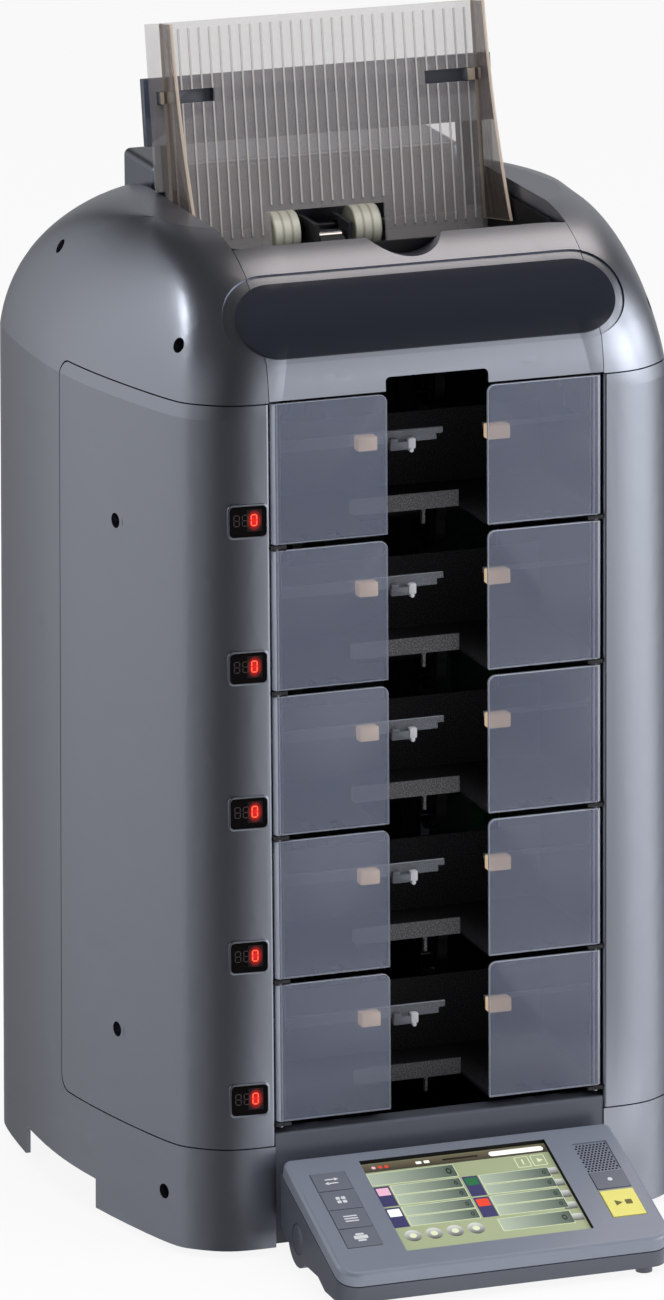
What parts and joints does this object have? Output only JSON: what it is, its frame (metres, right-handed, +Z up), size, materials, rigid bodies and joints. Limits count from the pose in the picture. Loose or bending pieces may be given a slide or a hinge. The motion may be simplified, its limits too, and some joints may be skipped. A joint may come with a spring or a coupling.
{
  "type": "banknote sorting machine",
  "caption": "Desktop banknote sorting machine: domed grey housing, top hopper with leaning ribbed plate, stacked pockets behind paired clear doors, tilting operator panel with screen and keys.",
  "frame": {"origin": "on the table, under the middle of the whole machine's box", "axes": "+X to the right of someone facing the machine, +Y to its back, +Z up"},
  "size_m": [0.3752, 0.4459, 0.6998],
  "materials": {
    "casing": "satin, fine metallic grey paint over moulded plastic",
    "badge": "gloss",
    "sill": "matte, fine texture",
    "steel_sheet": "matte dark paint on folded steel sheet",
    "bright_steel": "bright drawn bar",
    "foot_rubber": "matte",
    "black_moulding": "matte, fine texture",
    "hopper_plastic": "satin, smoky translucent",
    "smoked_plastic": "gloss, smoked",
    "clear_plastic": "clear",
    "amber_plastic": "clear amber",
    "door_plastic": "clear, blue-grey tint",
    "display_window": "gloss, dark red window",
    "roller_rubber": "matte, cream tyres",
    "chrome_roller": "polished",
    "wheel_rubber": "matte",
    "belt_rubber": "matte",
    "motor_case": "satin black",
    "supply_case": "plain folded sheet",
    "circuit_board": "solder mask",
    "panel_plastic": "satin",
    "screen_glass": "satin, olive backlit screen",
    "key_grey": "satin",
    "key_yellow": "satin"
  },
  "bodies": {
    "chassis": {"badge_panel": "badge", "base_feet": "foot_rubber", "base_plate": "steel_sheet", "display_modules": "display_window", "door_hinge_rods": "bright_steel", "front_sill": "sill", "front_top_cover": "casing", "guide_rail": "smoked_plastic", "hopper_plate": "hopper_plastic", "hopper_rear_housing": "casing", "hopper_well": "black_moulding", "left_casing": "casing", "left_frame_plate": "steel_sheet", "left_side_panel": "casing", "main_board": "circuit_board", "main_motor": "motor_case", "panel_pivot_pins": "bright_steel", "pocket_guide_arms": "clear_plastic", "pocket_sensors": "amber_plastic", "pocket_trays": "black_moulding", "power_inlet": "black_moulding", "power_supply": "supply_case", "press_roller_yoke": "black_moulding", "rear_cover": "casing", "right_casing": "casing", "right_frame_plate": "steel_sheet", "right_side_panel": "casing", "tie_bars": "bright_steel", "transport_belts": "belt_rubber"},
    "left_guide": {"left_note_guide": "clear_plastic"},
    "right_guide": {"right_note_guide": "clear_plastic"},
    "pickup": {"pickup_roller": "roller_rubber"},
    "press": {"press_roller": "chrome_roller"},
    "upper_transport": {"upper_transport_shaft": "bright_steel"},
    "lower_transport": {"lower_transport_shaft": "bright_steel"},
    "stacker_wheels_1": {"stacker_1": "wheel_rubber"},
    "stacker_wheels_2": {"stacker_2": "wheel_rubber"},
    "stacker_wheels_3": {"stacker_3": "wheel_rubber"},
    "stacker_wheels_4": {"stacker_4": "wheel_rubber"},
    "stacker_wheels_5": {"stacker_5": "wheel_rubber"},
    "left_flap_1": {"left_door_1": "door_plastic"},
    "right_flap_1": {"right_door_1": "door_plastic"},
    "left_flap_2": {"left_door_2": "door_plastic"},
    "right_flap_2": {"right_door_2": "door_plastic"},
    "left_flap_3": {"left_door_3": "door_plastic"},
    "right_flap_3": {"right_door_3": "door_plastic"},
    "left_flap_4": {"left_door_4": "door_plastic"},
    "right_flap_4": {"right_door_4": "door_plastic"},
    "left_flap_5": {"left_door_5": "door_plastic"},
    "right_flap_5": {"right_door_5": "door_plastic"},
    "rocker": {"power_switch": "black_moulding"},
    "operator_panel": {"panel_housing": "panel_plastic", "panel_bezel": "panel_plastic", "touchscreen": "screen_glass"},
    "change_key_cap": {"change_key": "key_grey"},
    "mode_key_cap": {"mode_key": "key_grey"},
    "menu_key_cap": {"menu_key": "key_grey"},
    "print_key_cap": {"print_key": "key_grey"},
    "clear_key_cap": {"clear_key": "key_grey"},
    "start_stop_key_cap": {"start_stop_key": "key_yellow"}
  },
  "joints": [
    {"name": "left_guide_slide", "type": "slide", "parent": "chassis", "child": "left_guide", "axis": [1, 0, 0], "range_m": [0, 0.024]},
    {"name": "right_guide_slide", "type": "slide", "parent": "chassis", "child": "right_guide", "axis": [-1, 0, 0], "range_m": [0, 0.024]},
    {"name": "pickup_spin", "type": "hinge", "parent": "chassis", "child": "pickup", "pos_m": [0, 0.094, 0.566], "axis": [1, 0, 0], "continuous": true},
    {"name": "press_spin", "type": "hinge", "parent": "chassis", "child": "press", "pos_m": [0, 0.081, 0.5605], "axis": [1, 0, 0], "continuous": true},
    {"name": "upper_transport_spin", "type": "hinge", "parent": "chassis", "child": "upper_transport", "pos_m": [0, 0.124, 0.505], "axis": [1, 0, 0], "continuous": true},
    {"name": "lower_transport_spin", "type": "hinge", "parent": "chassis", "child": "lower_transport", "pos_m": [0, 0.124, 0.07], "axis": [1, 0, 0], "continuous": true},
    {"name": "stacker_1_spin", "type": "hinge", "parent": "chassis", "child": "stacker_wheels_1", "pos_m": [0, 0.034, 0.143], "axis": [1, 0, 0], "continuous": true},
    {"name": "stacker_2_spin", "type": "hinge", "parent": "chassis", "child": "stacker_wheels_2", "pos_m": [0, 0.034, 0.2302], "axis": [1, 0, 0], "continuous": true},
    {"name": "stacker_3_spin", "type": "hinge", "parent": "chassis", "child": "stacker_wheels_3", "pos_m": [0, 0.034, 0.3174], "axis": [1, 0, 0], "continuous": true},
    {"name": "stacker_4_spin", "type": "hinge", "parent": "chassis", "child": "stacker_wheels_4", "pos_m": [0, 0.034, 0.4046], "axis": [1, 0, 0], "continuous": true},
    {"name": "stacker_5_spin", "type": "hinge", "parent": "chassis", "child": "stacker_wheels_5", "pos_m": [0, 0.034, 0.4918], "axis": [1, 0, 0], "continuous": true},
    {"name": "left_door_1_hinge", "type": "hinge", "parent": "chassis", "child": "left_flap_1", "pos_m": [-0.0985, -0.103, 0.081], "axis": [0, 0, -1], "range_deg": [0, 95]},
    {"name": "right_door_1_hinge", "type": "hinge", "parent": "chassis", "child": "right_flap_1", "pos_m": [0.0985, -0.103, 0.081], "axis": [0, 0, 1], "range_deg": [0, 95]},
    {"name": "left_door_2_hinge", "type": "hinge", "parent": "chassis", "child": "left_flap_2", "pos_m": [-0.0985, -0.103, 0.1682], "axis": [0, 0, -1], "range_deg": [0, 95]},
    {"name": "right_door_2_hinge", "type": "hinge", "parent": "chassis", "child": "right_flap_2", "pos_m": [0.0985, -0.103, 0.1682], "axis": [0, 0, 1], "range_deg": [0, 95]},
    {"name": "left_door_3_hinge", "type": "hinge", "parent": "chassis", "child": "left_flap_3", "pos_m": [-0.0985, -0.103, 0.2554], "axis": [0, 0, -1], "range_deg": [0, 95]},
    {"name": "right_door_3_hinge", "type": "hinge", "parent": "chassis", "child": "right_flap_3", "pos_m": [0.0985, -0.103, 0.2554], "axis": [0, 0, 1], "range_deg": [0, 95]},
    {"name": "left_door_4_hinge", "type": "hinge", "parent": "chassis", "child": "left_flap_4", "pos_m": [-0.0985, -0.103, 0.3426], "axis": [0, 0, -1], "range_deg": [0, 95]},
    {"name": "right_door_4_hinge", "type": "hinge", "parent": "chassis", "child": "right_flap_4", "pos_m": [0.0985, -0.103, 0.3426], "axis": [0, 0, 1], "range_deg": [0, 95]},
    {"name": "left_door_5_hinge", "type": "hinge", "parent": "chassis", "child": "left_flap_5", "pos_m": [-0.0985, -0.103, 0.4298], "axis": [0, 0, -1], "range_deg": [0, 95]},
    {"name": "right_door_5_hinge", "type": "hinge", "parent": "chassis", "child": "right_flap_5", "pos_m": [0.0985, -0.103, 0.4298], "axis": [0, 0, 1], "range_deg": [0, 95]},
    {"name": "power_rocker", "type": "hinge", "parent": "chassis", "child": "rocker", "pos_m": [0, 0.215, 0.055], "axis": [1, 0, 0], "range_deg": [0, 13.5]},
    {"name": "panel_tilt", "type": "hinge", "parent": "chassis", "child": "operator_panel", "pos_m": [0, -0.1425, 0.0205], "axis": [-1, 0, 0], "range_deg": [0, 10]},
    {"name": "change_key_press", "type": "slide", "parent": "operator_panel", "child": "change_key_cap", "axis": [0, 0.3338, -0.9426], "range_m": [0, 0.0012], "stiffness_N_per_m": 300, "springref_m": -0.001},
    {"name": "mode_key_press", "type": "slide", "parent": "operator_panel", "child": "mode_key_cap", "axis": [0, 0.3338, -0.9426], "range_m": [0, 0.0012], "stiffness_N_per_m": 300, "springref_m": -0.001},
    {"name": "menu_key_press", "type": "slide", "parent": "operator_panel", "child": "menu_key_cap", "axis": [0, 0.3338, -0.9426], "range_m": [0, 0.0012], "stiffness_N_per_m": 300, "springref_m": -0.001},
    {"name": "print_key_press", "type": "slide", "parent": "operator_panel", "child": "print_key_cap", "axis": [0, 0.3338, -0.9426], "range_m": [0, 0.0012], "stiffness_N_per_m": 300, "springref_m": -0.001},
    {"name": "clear_key_press", "type": "slide", "parent": "operator_panel", "child": "clear_key_cap", "axis": [0, 0.3338, -0.9426], "range_m": [0, 0.0012], "stiffness_N_per_m": 300, "springref_m": -0.001},
    {"name": "start_stop_key_press", "type": "slide", "parent": "operator_panel", "child": "start_stop_key_cap", "axis": [0, 0.3338, -0.9426], "range_m": [0, 0.0012], "stiffness_N_per_m": 300, "springref_m": -0.001}
  ],
  "couplings": [
    {"joint": "right_guide_slide", "follows": "left_guide_slide", "ratio": 1},
    {"joint": "lower_transport_spin", "follows": "upper_transport_spin", "ratio": 1},
    {"joint": "stacker_2_spin", "follows": "stacker_1_spin", "ratio": 1},
    {"joint": "stacker_3_spin", "follows": "stacker_1_spin", "ratio": 1},
    {"joint": "stacker_4_spin", "follows": "stacker_1_spin", "ratio": 1},
    {"joint": "stacker_5_spin", "follows": "stacker_1_spin", "ratio": 1}
  ]
}
